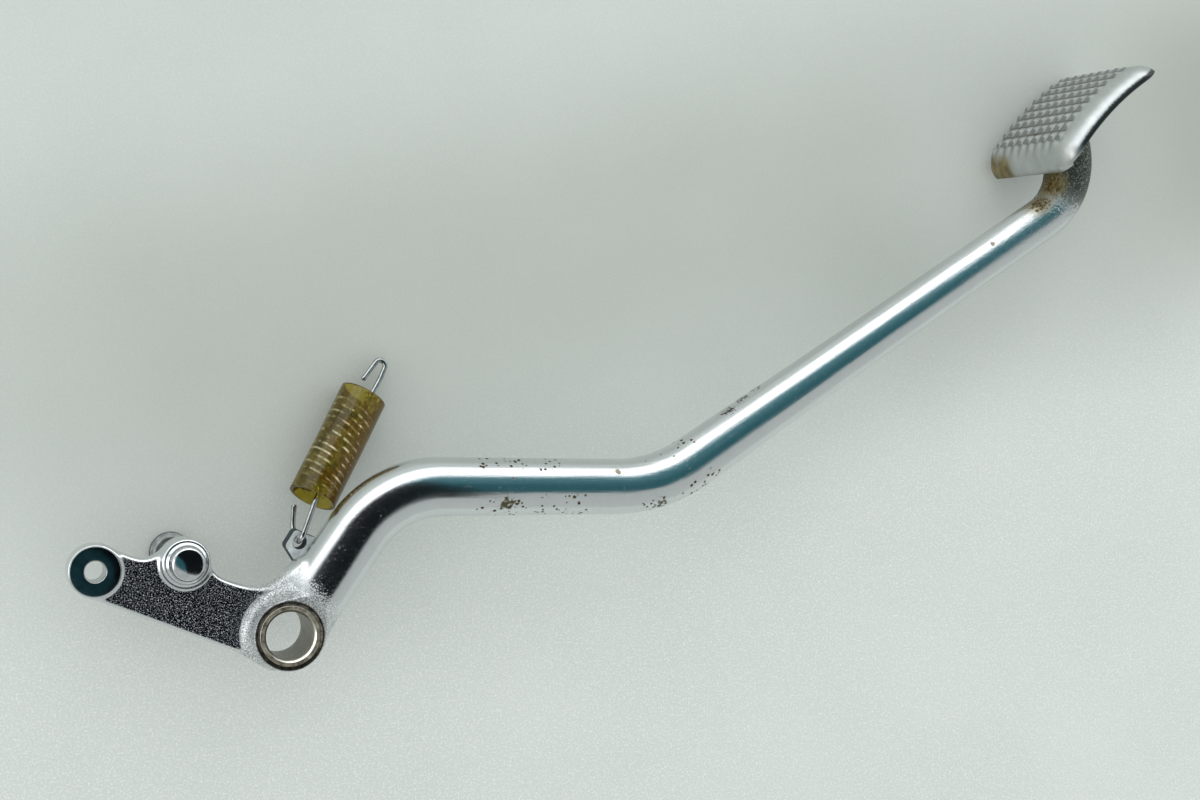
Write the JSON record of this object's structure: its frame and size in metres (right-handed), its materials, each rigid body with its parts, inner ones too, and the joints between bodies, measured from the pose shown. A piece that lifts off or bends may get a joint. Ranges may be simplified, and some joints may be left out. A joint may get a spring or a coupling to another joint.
{
  "type": "motorcycle rear brake pedal",
  "caption": "Forged chromed brake pedal: pivot boss with lever and rod eye, long bent arm, ridged foot pad, and a sleeved return spring hooked to its lug.",
  "frame": {"origin": "middle of the pivot bore, halfway along it", "axes": "+Z along the pivot, away from the motorcycle; +X along the middle run of the arm, from the pivot towards the foot pad; +Y is the side the foot pad rises to"},
  "size_m": [0.3414, 0.1829, 0.053],
  "materials": {
    "chromed_forging": "old chrome plate over a forging: bright on the arm, grainy and dark on the lever's faces, rust pits",
    "worn_steel": "machined end faces, dulled and stained",
    "bush_steel": "bare turned steel with old grease stain",
    "pin_steel": "plated, bright dome, duller head",
    "pad_chrome": "satin worn plate with a brown stain at one corner",
    "weld_metal": "rough plated weld bead, dull and rusty",
    "lug_chrome": "satin plate",
    "spring_wire": "bright zinc plated wire",
    "sleeve_plastic": "clear vinyl tube gone yellow and dirty with age"
  },
  "bodies": {
    "pedal": {"pivot_boss": "worn_steel", "pivot_bush": "bush_steel", "brake_lever": "chromed_forging", "switch_pin": "pin_steel", "pedal_arm": "chromed_forging", "foot_pad": "pad_chrome", "pad_weld": "weld_metal", "spring_lug": "lug_chrome"},
    "spring": {"spring_lower_hook": "spring_wire", "spring_coils": "spring_wire"},
    "spring_end": {"spring_upper_hook": "spring_wire"},
    "sleeve": {"spring_sleeve": "sleeve_plastic"}
  },
  "joints": [
    {"name": "spring_swing", "type": "hinge", "parent": "pedal", "child": "spring", "pos_m": [0.00579, 0.02555, -0.0065], "axis": [0, 0, 1], "range_deg": [0, 85]},
    {"name": "spring_stretch", "type": "slide", "parent": "spring", "child": "spring_end", "axis": [0.4977, 0.8283, -0.2571], "range_m": [0, 0.015], "stiffness_N_per_m": 4800, "deforming": ["spring_coils"]},
    {"name": "sleeve_slide", "type": "slide", "parent": "spring", "child": "sleeve", "axis": [0.4977, 0.8283, -0.2571], "range_m": [0, 0.006]}
  ]
}
